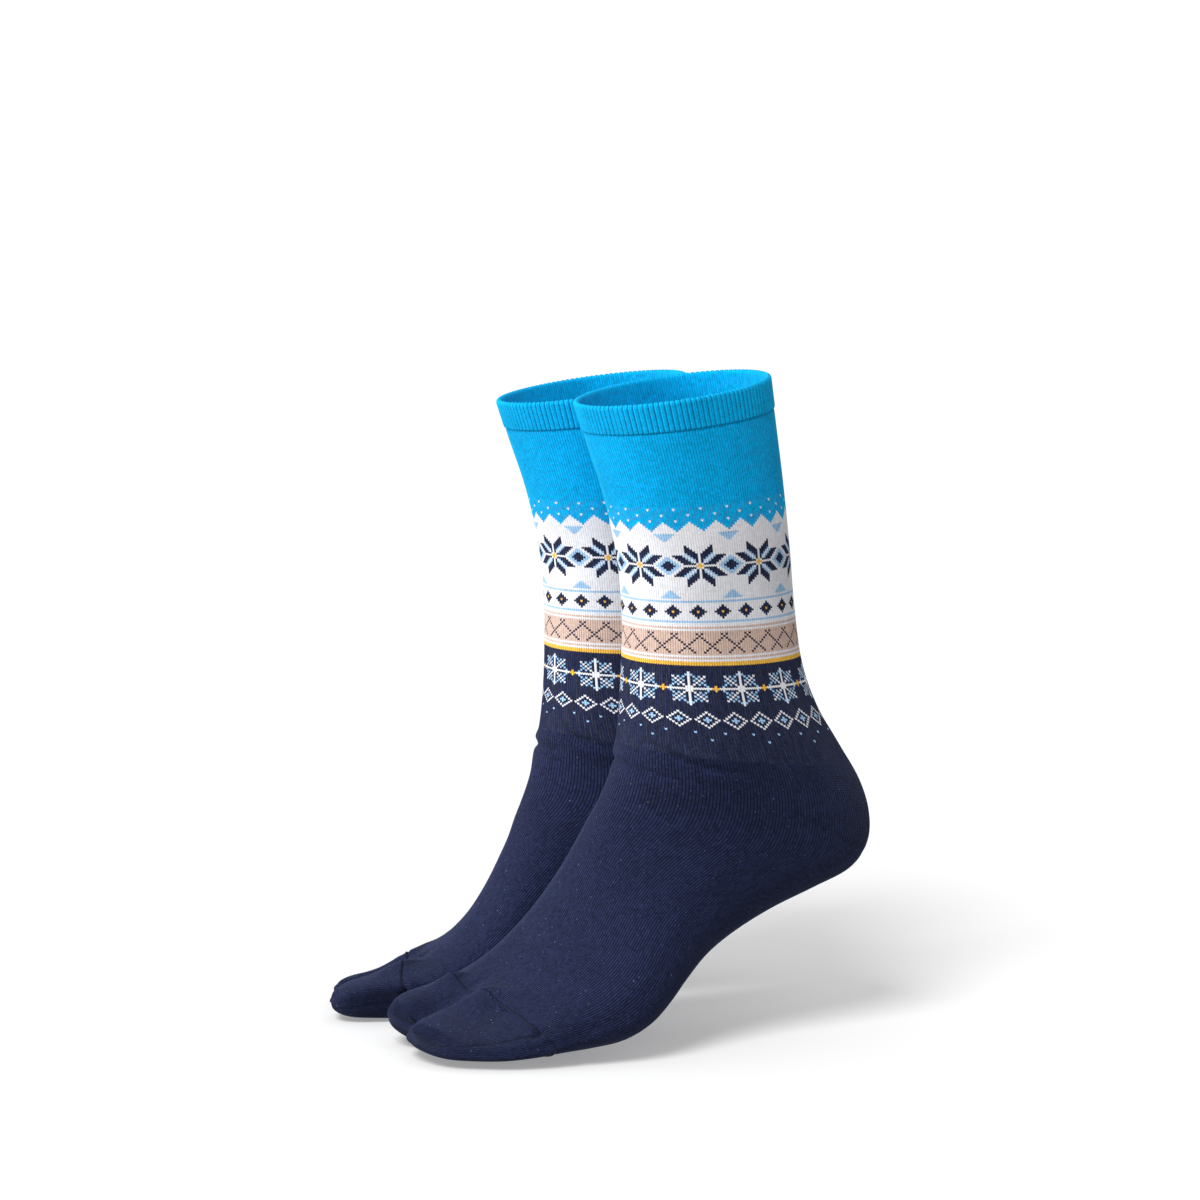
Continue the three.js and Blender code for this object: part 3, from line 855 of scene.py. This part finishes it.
# %% [markdown]
# ## Leg and foot
# Both are stretches of the tube. A bump alone could draw the stitches, but the pattern's edges would stay
# straight, and a knitted edge is a row of points. So the face has every stitch's outline: its odd columns,
# in the middle of the wales, are half a course lower than the grooves between wales, which makes each
# stitch the V of plain knitting. The leg has one ring of faces for each course, so every stitch of the
# chart is a pair of faces in its own colour. The plain foot has coarser rings, with its Vs left to the bump.

# %% Stitch grid of a tube
# Depth of the grooves between wales, in millimetres
GROOVE = 0.2


def stitch_relief(points, normals, lift, half_course):
    """Lifts the face, sinks its grooves and lowers the middles of its wales by half a course."""
    odd = np.arange(points.shape[1]) % 2 == 1
    lowered = points.copy()
    inner = slice(1, len(points) - 1)
    step = (points[2:] - points[inner]) * half_course
    lowered[inner, odd] = points[inner, odd] + step[:, odd]
    depth = np.where(odd, 0.0, -GROOVE)[None, :]
    return lowered + normals * (lift + depth)[..., None]


def tube_shell(name, sock, stations, lift, painted_shade, floats, yarns, first_course, courses_per_row):
    """A closed shell on the face between two seams."""
    points = tube_points(stations, COLUMNS, sock)
    normals = grid_normals(points, sock)
    rows = len(stations)
    shell = Shell(name, sock)
    face = stitch_relief(points, normals, lift, 0.5 / courses_per_row)
    start = shell.add_points(face, painted_shade, floats)

    def stitch_at(row, column):
        lowered = (row > 0) & (row < rows - 1) & (column % 2 == 1)
        return np.stack([column / 2, first_course + row * courses_per_row + 0.5 * lowered], -1)

    def colour_at(row, column):
        wale = column // 2
        return toned(yarns[row, wale], row, wale)

    shell.add_grid(start, rows, COLUMNS, stitch_at, colour_at)

    def course_at(row):
        return first_course + row * courses_per_row

    def mean_yarn(row):
        return yarn_colours[yarns[row]].mean(axis=1)

    lining_rows = np.unique(np.append(np.arange(0, rows - 1, LINING_STEP), rows - 1))
    _, lining_start = add_lining(shell, points, normals, lift, lining_rows, course_at, mean_yarn)
    add_rim(shell, start, lining_start, yarn_colours[yarns[0, 0]], top=True)
    last_face = start + (rows - 1) * COLUMNS
    last_lining = lining_start + (len(lining_rows) - 1) * (COLUMNS // LINING_STEP)
    add_rim(shell, last_face, last_lining, yarn_colours[yarns[-1, 0]], top=False)
    return shell


print("the grooves between wales are", GROOVE, "mm deep")

# %% Legs
# The leg joins the welt along a narrow dip with shade painted in it, and tucks up into it by a small share of
# a station
WELT_LINE = {"dip": 0.35, "reach": 1.0, "shading": 0.9, "shading_reach": 0.8, "tuck": 0.03}


def make_leg(side, sock):
    stations = even_stations(CUFF_SEAM - WELT_LINE["tuck"], LEG_END, LEG_COURSES, sock)
    down = distance_down(stations, sock)
    points = tube_points(stations, COLUMNS, sock)
    lift = crease_lift(points, ANKLE_CREASES, sock) - WELT_LINE["dip"] * bell(down, WELT_LINE["reach"])
    # Shade is painted along the dip under the welt
    painted_shade = np.broadcast_to(WELT_LINE["shading"] * bell(down, WELT_LINE["shading_reach"]), lift.shape)
    patterned = (np.arange(len(stations)) >= JACQUARD_START).astype(float)
    floats = np.broadcast_to(patterned[:, None], lift.shape)
    # There is one ring of points more than of faces, so the last course stands twice
    yarns = np.vstack([chart, chart[-1:]])
    shell = tube_shell(f"{side}_leg_knit", sock, stations, lift, painted_shade, floats, yarns, 0, 1)
    return shell.make(FINISHES["leg"])


legs = {side: make_leg(side, sock) for side, sock in SOCKS.items()}

# %% Feet
# Rows of faces, each about one and a half courses high, and the height of a course in millimetres
FOOT_ROWS = 128
COURSE_HEIGHT = 0.9

# The heel is turned by narrowing the rows and picking them up again, which leaves a slanting line of small
# tight stitches, the gore, on each side. The linked seam at the toes is a dip with a fine ridge ahead of it.
# Shade is painted along both, and along the gores it is stronger and weaker from stitch to stitch.
HEEL_GORE = ((9.1, 0.783), (9.71, 0.848), (10.28, 0.943), (10.5, 1.0))
GORE = {"width": 0.8, "depth": 0.35, "shading": 0.6}
TOE_LINK = {"ridge": 0.45, "ridge_place": 1.1, "width": 0.7, "shading": 0.25}
LINKED_STITCH = (0.45, 1.0)


def linked(grid):
    """A strength for each point of a grid that alternates from stitch to stitch, like tight stitches."""
    row, column = np.indices(grid.shape)
    return np.array(LINKED_STITCH)[(row + column // 2) % 2]


def add_gores(points, places, lift, painted_shade, sock):
    """Sinks a line of tight stitches on both sides of a grid, with shade painted along it."""
    for line in (places, mirrored(places)):
        distance, _ = distance_to_line(points, line, sock)
        near = bell(distance, GORE["width"]) * linked(lift)
        lift -= GORE["depth"] * near
        painted_shade = np.maximum(painted_shade, GORE["shading"] * near)
    return lift, painted_shade


def make_foot(side, sock):
    stations = even_stations(LEG_END, TOE_SEAM, FOOT_ROWS, sock)
    down = distance_down(stations, sock)
    to_seam = down[-1] - down
    points = tube_points(stations, COLUMNS, sock)
    lift = crease_lift(points, ANKLE_CREASES, sock) + crease_lift(points, TOE_CREASES, sock)
    lift, painted_shade = add_gores(points, HEEL_GORE, lift, np.zeros_like(lift), sock)
    near_seam = bell(to_seam, TOE_LINK["width"])
    lift -= TOE_LINK["ridge"] * near_seam
    # Shade is painted along the dip of the linked seam
    painted_shade = np.maximum(painted_shade, TOE_LINK["shading"] * near_seam)
    courses_per_row = down[-1, 0] / FOOT_ROWS / COURSE_HEIGHT
    yarns = np.full((len(stations), WALES), NAVY)
    shell = tube_shell(
        f"{side}_foot_knit", sock, stations, lift, painted_shade, 0.0, yarns, LEG_COURSES, courses_per_row
    )
    return shell.make(FINISHES["foot"])


feet = {side: make_foot(side, sock) for side, sock in SOCKS.items()}

# %% [markdown]
# ## Toe cap
# The toe is knitted as a pocket and linked shut across the top of the toes, which leaves a fine raised
# seam there and a line of narrowed stitches along each side. The end could be a fan of faces round one
# point, but that would draw the wales together. Here the last rings flatten towards the line through their
# middle, and a strip joins the last one's top to its sole.

# %% Closing the tip
# Each closing ring is flattened to a share of the last ring's height and moved ahead in millimetres
CLOSING_RINGS = ((0.86, 0.5), (0.6, 0.95), (0.25, 1.25))

# The column that faces each one across the flattened toe. The toe's two sides face themselves.
partner = (3 * COLUMNS // 2 - np.arange(COLUMNS)) % COLUMNS


def closing_rings(ring, previous):
    """Rings that flatten the last ring towards the line between its top and its sole."""
    middle = (ring + ring[partner]) / 2
    half_height = np.linalg.norm(ring - middle, axis=1, keepdims=True)
    ahead = (ring - previous).mean(axis=0)
    ahead = ahead / np.linalg.norm(ahead) * half_height / half_height.max()
    return np.array([middle + (ring - middle) * share + ahead * far for share, far in CLOSING_RINGS])


def add_tip(shell, last, row, colour):
    """Closes the ring of points from number last on with a strip of faces from its top to its sole."""
    for k in range(COLUMNS // 4, 3 * COLUMNS // 4):
        columns = [k, partner[k], partner[k + 1], k + 1]
        if partner[k] == k:
            columns = columns[1:]
        elif partner[k + 1] == k + 1:
            columns = columns[:3]
        stitches = [(column / 2, row) for column in columns]
        shell.add_face([last + column for column in columns], colour, stitches)


print("each toe closes in", len(CLOSING_RINGS), "rings")

# %% Toes
TOE_ROWS = 42
TOE_GORE = ((21.45, 0.745), (22.85, 0.74), (24.25, 0.748), (26.2, 0.75))

# The lining ends at this share of the rows, short of the tip, and the stitches fade over the last rows
LINING_SHARE = 0.84
PLAIN_TIP_ROWS = 6


def make_toe(side, sock):
    stations = even_stations(TOE_SEAM, LAST_STATION, TOE_ROWS, sock)
    down = distance_down(stations, sock)
    points = tube_points(stations, COLUMNS, sock)
    normals = grid_normals(points, sock)
    lift = crease_lift(points, TOE_CREASES, sock)
    near_seam = bell(down, TOE_LINK["width"])
    ridge = bell(down - TOE_LINK["ridge_place"], TOE_LINK["width"])
    lift = lift + TOE_LINK["ridge"] * (ridge - near_seam)
    # Shade is painted along the dip of the linked seam
    painted_shade = np.broadcast_to(TOE_LINK["shading"] * near_seam, lift.shape)
    lift, painted_shade = add_gores(points, TOE_GORE, lift, painted_shade, sock)
    courses_per_row = down[-1, 0] / TOE_ROWS / COURSE_HEIGHT
    fade = np.clip((len(stations) - np.arange(len(stations))) / PLAIN_TIP_ROWS, 0, 1)
    face = stitch_relief(points, normals * fade[:, None, None], lift, 0.5 / courses_per_row)
    face = np.concatenate([face, closing_rings(face[-1], face[-2])])
    painted_shade = np.vstack([painted_shade, np.zeros((len(CLOSING_RINGS), COLUMNS))])
    rows = len(face)
    shell = Shell(f"{side}_toe_knit", sock)
    start = shell.add_points(face, painted_shade)
    navy = yarn_colours[NAVY]

    def stitch_at(row, column):
        return np.stack([column / 2, row * courses_per_row], -1)

    def colour_at(row, column):
        return toned(NAVY, row, column // 2)

    def course_at(row):
        return row

    def plain_navy(row):
        return np.broadcast_to(navy, (len(row), 3))

    shell.add_grid(start, rows, COLUMNS, stitch_at, colour_at)
    add_tip(shell, start + (rows - 1) * COLUMNS, rows, navy)

    lining_rows = np.arange(0, int(LINING_SHARE * TOE_ROWS), LINING_STEP)
    lining, lining_start = add_lining(shell, points, normals, lift, lining_rows, course_at, plain_navy)
    middle = shell.add_points(lining[-1].mean(axis=0)[None, :])
    columns = COLUMNS // LINING_STEP
    last = lining_start + (len(lining_rows) - 1) * columns
    for k in range(columns):
        shell.add_face([last + (k + 1) % columns, middle, last + k], navy)
    add_rim(shell, start, lining_start, navy, top=True)
    return shell.make(FINISHES["toe"])


toes = {side: make_toe(side, sock) for side, sock in SOCKS.items()}

# %% [markdown]
# ## Ribbed welt
# The cuff is a doubled band with fine vertical ribs that hold the sock up. Its ribs run over the rounded
# top edge and fade inside. A strip of plain tube with a bump would look flat at the outline, so the ribs
# are modelled: a profile goes up the inside, over the top and down the outside, and eight columns of faces
# make each rib.

# %% Profile of the welt
# Sizes in millimetres, and how many rows the inside, the top, the outside and the lower edge have
CUFF_WALL = 2.2
CUFF_HEIGHT = 13.4
LOWER_ROUND = 0.6
INNER_STEPS, TOP_STEPS, OUTER_STEPS, LOWER_STEPS = 8, 8, 18, 4

# The ribs' strength inside the cuff, and how far past the crest of the edge they are whole
INSIDE_STRENGTH = 0.1
WHOLE_RIBS_FROM = 0.2


def cuff_profile():
    """Height below the top edge, depth inside the face and rib strength, from the inside to the outside."""
    radius = CUFF_WALL / 2
    low = CUFF_HEIGHT - LOWER_ROUND
    rows = [
        (height, CUFF_WALL, INSIDE_STRENGTH)
        for height in np.linspace(CUFF_HEIGHT, radius, INNER_STEPS, endpoint=False)
    ]
    for turn in np.linspace(math.pi, 0, TOP_STEPS + 1):
        strength = max(INSIDE_STRENGTH, ease(math.cos(turn), -1, WHOLE_RIBS_FROM))
        rows.append((radius - radius * math.sin(turn), radius - radius * math.cos(turn), strength))
    rows += [(height, 0.0, 1.0) for height in np.linspace(radius, low, OUTER_STEPS + 1)[1:]]
    for turn in np.linspace(0, math.pi / 2, LOWER_STEPS + 1)[1:]:
        depth = LOWER_ROUND * (1 - math.cos(turn))
        rows.append((low + LOWER_ROUND * math.sin(turn), depth, math.cos(turn)))
    return np.array(rows).T


print("the welt's profile has", cuff_profile().shape[1], "rows")

# %% Cuffs
# Height is in millimetres, the groove's width a share of a rib, and unevenness from rib to rib
RIBS = 112
RIB_COLUMNS = 8
RIB_HEIGHT = 0.45
RIB_GROOVE = 0.17
RIB_UNEVENNESS = 0.15
# How much shade is painted into the grooves between ribs
RIB_GROOVE_SHADE = 0.5
WALES_TO_A_RIB = 2


def make_cuff(side, sock):
    columns = RIBS * RIB_COLUMNS
    height, depth, strength = cuff_profile()
    fine, walked = walk_down(0, CUFF_SEAM, sock)
    stations = np.interp(height / CUFF_HEIGHT * walked[-1], walked, fine)
    points = tube_points(stations, columns, sock)
    # The profile doubles back on itself, so its way out of the cloth comes from rings that only run down
    outward = grid_normals(tube_points(np.linspace(0, CUFF_SEAM, len(stations)), columns, sock), sock)
    base = points - outward * depth[:, None, None]
    normals = grid_normals(base, sock)

    phase = (np.arange(columns) % RIB_COLUMNS) / RIB_COLUMNS
    groove = bell(np.minimum(phase, 1 - phase), RIB_GROOVE)
    uneven = 1 + RIB_UNEVENNESS * np.repeat(rng.standard_normal(RIBS), RIB_COLUMNS)
    lift = RIB_HEIGHT * strength[:, None] * (1 - groove * uneven)[None, :]
    shell = Shell(f"{side}_cuff_knit", sock)
    # Shade is painted into the grooves between ribs, fading where the ribs fade
    painted_shade = RIB_GROOVE_SHADE * groove[None, :] * strength[:, None]
    start = shell.add_points(base + normals * lift[..., None], painted_shade)
    steps = np.linalg.norm(np.diff(base, axis=0), axis=2).mean(axis=1)
    courses = np.concatenate([[0], np.cumsum(steps)]) / COURSE_HEIGHT
    rows = len(base)

    def stitch_at(row, column):
        return np.stack([WALES_TO_A_RIB * column / RIB_COLUMNS, courses[row]], -1)

    def colour_at(row, column):
        return toned(SKY, row, WALES_TO_A_RIB * column // RIB_COLUMNS)

    shell.add_grid(start, rows, columns, stitch_at, colour_at)
    last = start + (rows - 1) * columns
    for k in range(columns):
        k2 = (k + 1) % columns
        shell.add_face([last + k, start + k, start + k2, last + k2], yarn_colours[SKY])
    return shell.make(FINISHES["cuff"])


cuffs = {side: make_cuff(side, sock) for side, sock in SOCKS.items()}

# %% [markdown]
# ## Joining the frame
# Every piece rides on the one body and stands for its solid, which is hidden. The heel and the foot are
# two solids but one piece of knitting. Socks are knitted small, and here they stretch by about a quarter.

# %% Ride and replace
STANDS_FOR = {"cuff": ("cuff",), "leg": ("leg",), "foot": ("heel", "foot"), "toe": ("toe",)}
parts = {"cuff": cuffs, "leg": legs, "foot": feet, "toe": toes}
for part, made in parts.items():
    for side, piece in made.items():
        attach(piece, "root")
        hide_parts(*(f"{side}_{node}" for node in STANDS_FOR[part]))
print("all pieces ride on the root body")

# %% [markdown]
# ## Floor, light and camera
# The socks stand on white studio paper, so bright that only their shadow shows on it. A large soft lamp
# stands in front, to the left of the camera, a second one low on the left, and white walls fill the rest.
# Sun lamps with a wide angle do this evenly over the whole floor, where area lamps would leave pools of
# light. The camera looks from the outer side of the left sock, a little from the front and above.

# %% Floor
# Uncoated paper: white from every side, with no shine. Its own faint glow takes it to clear white in the
# light and keeps the shadow on it soft and grey.
FLOOR_SIZE = 60
PAPER_COLOUR = "#e1e1e1"
PAPER_ROUGHNESS = 0.95
PAPER_GLOSS = 0.1
PAPER_GLOW = 0.29
WHITE_LIGHT = (*linear("#ffffff"), 1.0)
floor_mesh = bpy.data.meshes.new("floor")
half = FLOOR_SIZE / 2
# The paper touches the lowest stitch
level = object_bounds()[0][2]
floor_corners = [(-half, -half, level), (half, -half, level), (half, half, level), (-half, half, level)]
floor_mesh.from_pydata(floor_corners, [], [(0, 1, 2, 3)])
paper = bpy.data.materials.new("matt_white_paper")
paper.use_nodes = True
paper_shader = paper.node_tree.nodes["Principled BSDF"]
paper_shader.inputs["Base Color"].default_value = (*linear(PAPER_COLOUR), 1.0)
paper_shader.inputs["Roughness"].default_value = PAPER_ROUGHNESS
paper_shader.inputs["Specular IOR Level"].default_value = PAPER_GLOSS
paper_shader.inputs["Emission Color"].default_value = WHITE_LIGHT
paper_shader.inputs["Emission Strength"].default_value = PAPER_GLOW
floor_mesh.materials.append(paper)
floor = bpy.data.objects.new("floor", floor_mesh)
bpy.context.scene.collection.objects.link(floor)
# The paper gives the socks no light back, so that their undersides stay dark
floor.visible_diffuse = False
print("floor at", round(level, 3), "m")

# %% Camera
# A long lens from two metres away shows the pair with little perspective. It looks at the target.
LENS, SENSOR = 150, 36
TARGET = Vector((0, -13.9, -91)) * MM
AZIMUTH, ELEVATION = math.radians(73), math.radians(8)
DISTANCE = 2.15


def direction(azimuth, elevation):
    """The unit vector to a place at an azimuth from the front (-Y) towards +X, and an elevation."""
    level_part = math.cos(elevation)
    return Vector((math.sin(azimuth) * level_part, -math.cos(azimuth) * level_part, math.sin(elevation)))


back = direction(AZIMUTH, ELEVATION)
camera_data = bpy.data.cameras.new("camera")
camera_data.lens = LENS
camera_data.sensor_width = SENSOR
camera = bpy.data.objects.new("camera", camera_data)
camera.location = TARGET + back * DISTANCE
camera.rotation_mode = "QUATERNION"
camera.rotation_quaternion = (-back).to_track_quat("-Z", "Y")
bpy.context.scene.collection.objects.link(camera)
bpy.context.scene.camera = camera
print("camera at", [round(value, 3) for value in camera.location])

# %% Light
# Azimuth from the front, elevation and width in degrees, and strength, of each lamp
LAMPS = {
    "front lamp": (48, 48, 24, 2.26),
    "side lamp": (-6, 14, 30, 2.9),
}

# A flag keeps the side lamp off the paper, where it would draw a second, long shadow
flagged = bpy.data.collections.new("side_lamp_reach")
for made in parts.values():
    for piece in made.values():
        flagged.objects.link(piece)

for name, (azimuth, elevation, width, strength) in LAMPS.items():
    data = bpy.data.lights.new(name, "SUN")
    data.energy = strength
    data.angle = math.radians(width)
    lamp = bpy.data.objects.new(name, data)
    towards = direction(math.radians(azimuth), math.radians(elevation))
    lamp.rotation_mode = "QUATERNION"
    lamp.rotation_quaternion = (-towards).to_track_quat("-Z", "Y")
    bpy.context.scene.collection.objects.link(lamp)
    if name == "side lamp":
        lamp.light_linking.receiver_collection = flagged

ROOM_LIGHT = 0.5
world = bpy.data.worlds.new("studio")
world.use_nodes = True
surround = world.node_tree.nodes["Background"]
surround.inputs["Color"].default_value = WHITE_LIGHT
surround.inputs["Strength"].default_value = ROOM_LIGHT
bpy.context.scene.world = world
bpy.context.scene.view_settings.view_transform = "Standard"
print(len(LAMPS), "lamps and a white surround")
